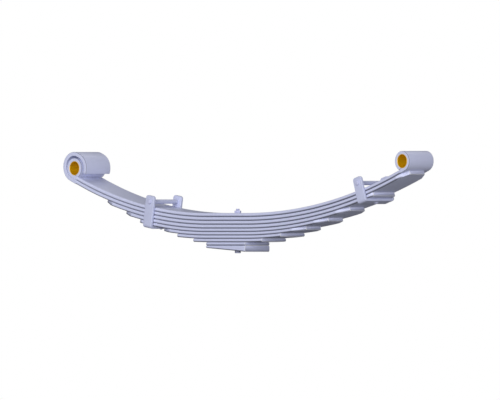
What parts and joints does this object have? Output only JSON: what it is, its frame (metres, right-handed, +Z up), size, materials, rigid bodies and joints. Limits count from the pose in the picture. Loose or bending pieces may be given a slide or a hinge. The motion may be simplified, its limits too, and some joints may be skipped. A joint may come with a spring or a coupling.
{
  "type": "leaf spring",
  "caption": "Multi-leaf steel spring with two rolled eyes, bronze bushings, a wrapper leaf, rebound clips, a centre bolt and a tapered axle wedge.",
  "frame": {"origin": "on the centre bolt's axis, where its round head leaves the sloping underside of the axle wedge", "axes": "+X from the front eye to the rear eye, +Y along the eyes' axes, +Z up, square to the flat seat of the leaves"},
  "size_m": [1.4242, 0.136, 0.2973],
  "materials": {
    "leaf_steel": "satin blue-grey primer",
    "seat_steel": "satin blue-grey primer",
    "clip_steel": "satin blue-grey primer",
    "hardware_steel": "satin blue-grey primer over steel hardware",
    "bushing_bronze": "machined bronze"
  },
  "bodies": {
    "root": {"leaf_1_main": "leaf_steel", "leaf_2_wrapper": "leaf_steel", "leaf_3": "leaf_steel", "leaf_4": "leaf_steel", "leaf_5": "leaf_steel", "leaf_6": "leaf_steel", "leaf_7": "leaf_steel", "leaf_8": "leaf_steel", "spacer_plate": "seat_steel", "axle_wedge": "seat_steel", "centre_bolt": "hardware_steel", "centre_bolt_nut": "hardware_steel"},
    "front_arm": {"front_clip": "clip_steel", "front_clip_rivet": "hardware_steel", "front_clip_bolt": "hardware_steel", "front_clip_spacer": "clip_steel", "front_clip_nut": "hardware_steel"},
    "front_tip": {"front_eye_bushing": "bushing_bronze"},
    "rear_arm": {"rear_clip": "clip_steel", "rear_clip_rivet": "hardware_steel", "rear_clip_bolt": "hardware_steel", "rear_clip_spacer": "clip_steel", "rear_clip_nut": "hardware_steel"},
    "rear_tip": {"rear_eye_bushing": "bushing_bronze"}
  },
  "joints": [
    {"name": "front_arm_flex", "type": "hinge", "parent": "root", "child": "front_arm", "pos_m": [-0.185, 0, 0.10014], "axis": [0, -1, 0], "range_deg": [-1.5, 9], "stiffness_Nm_per_rad": 90000, "deforming": ["leaf_1_main", "leaf_2_wrapper", "leaf_3", "leaf_4", "leaf_5", "leaf_6", "leaf_7", "leaf_8"]},
    {"name": "front_tip_flex", "type": "hinge", "parent": "front_arm", "child": "front_tip", "pos_m": [-0.444, 0, 0.14435], "axis": [0, -1, 0], "range_deg": [-1.9, 11.3], "deforming": ["leaf_1_main", "leaf_2_wrapper", "leaf_3", "leaf_4"]},
    {"name": "rear_arm_flex", "type": "hinge", "parent": "root", "child": "rear_arm", "pos_m": [0.312, 0, 0.11239], "axis": [0, 1, 0], "range_deg": [-2, 13.5], "stiffness_Nm_per_rad": 24000, "deforming": ["leaf_1_main", "leaf_2_wrapper", "leaf_3", "leaf_4", "leaf_5", "leaf_6", "leaf_7", "leaf_8"]},
    {"name": "rear_tip_flex", "type": "hinge", "parent": "rear_arm", "child": "rear_tip", "pos_m": [0.637, 0, 0.19183], "axis": [0, 1, 0], "range_deg": [-0.65, 4.25], "deforming": ["leaf_1_main", "leaf_2_wrapper", "leaf_3"]}
  ],
  "couplings": [
    {"joint": "front_tip_flex", "follows": "front_arm_flex", "ratio": 1.25},
    {"joint": "rear_tip_flex", "follows": "rear_arm_flex", "ratio": 0.31}
  ]
}
